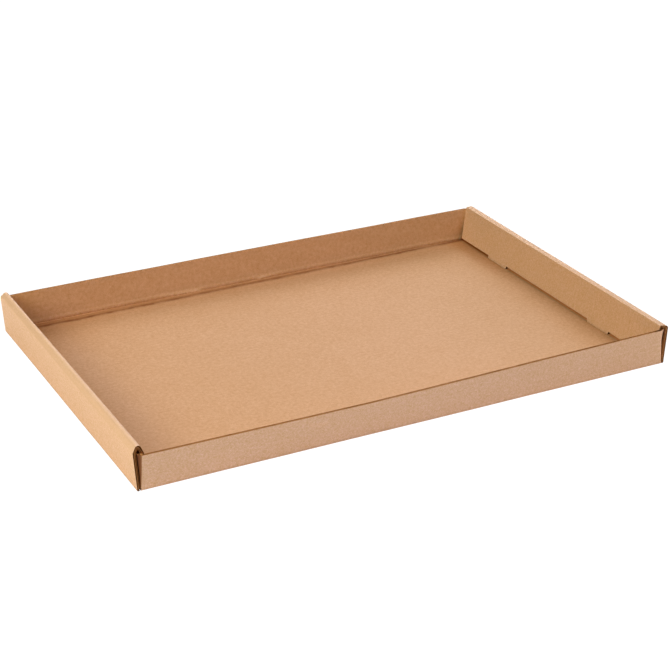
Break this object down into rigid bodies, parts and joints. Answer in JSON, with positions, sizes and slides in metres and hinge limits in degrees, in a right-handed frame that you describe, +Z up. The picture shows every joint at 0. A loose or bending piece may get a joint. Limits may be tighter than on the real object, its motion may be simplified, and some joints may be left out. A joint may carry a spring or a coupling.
{
  "type": "cardboard tray box",
  "caption": "Shallow rectangular folded corrugated tray with roll-over double ends, for carrying or displaying goods.",
  "frame": {"origin": "middle of the tray's extents, on the plane that its underside rests on", "axes": "+X along the length, towards the end whose roll-over strip lies flat; +Y across the width; +Z up, out of the open top"},
  "size_m": [0.6051, 0.4135, 0.0476],
  "materials": {
    "kraft_board": "matt uncoated brown kraft paper liner"
  },
  "bodies": {
    "root": {"tray": "kraft_board"}
  },
  "joints": []
}
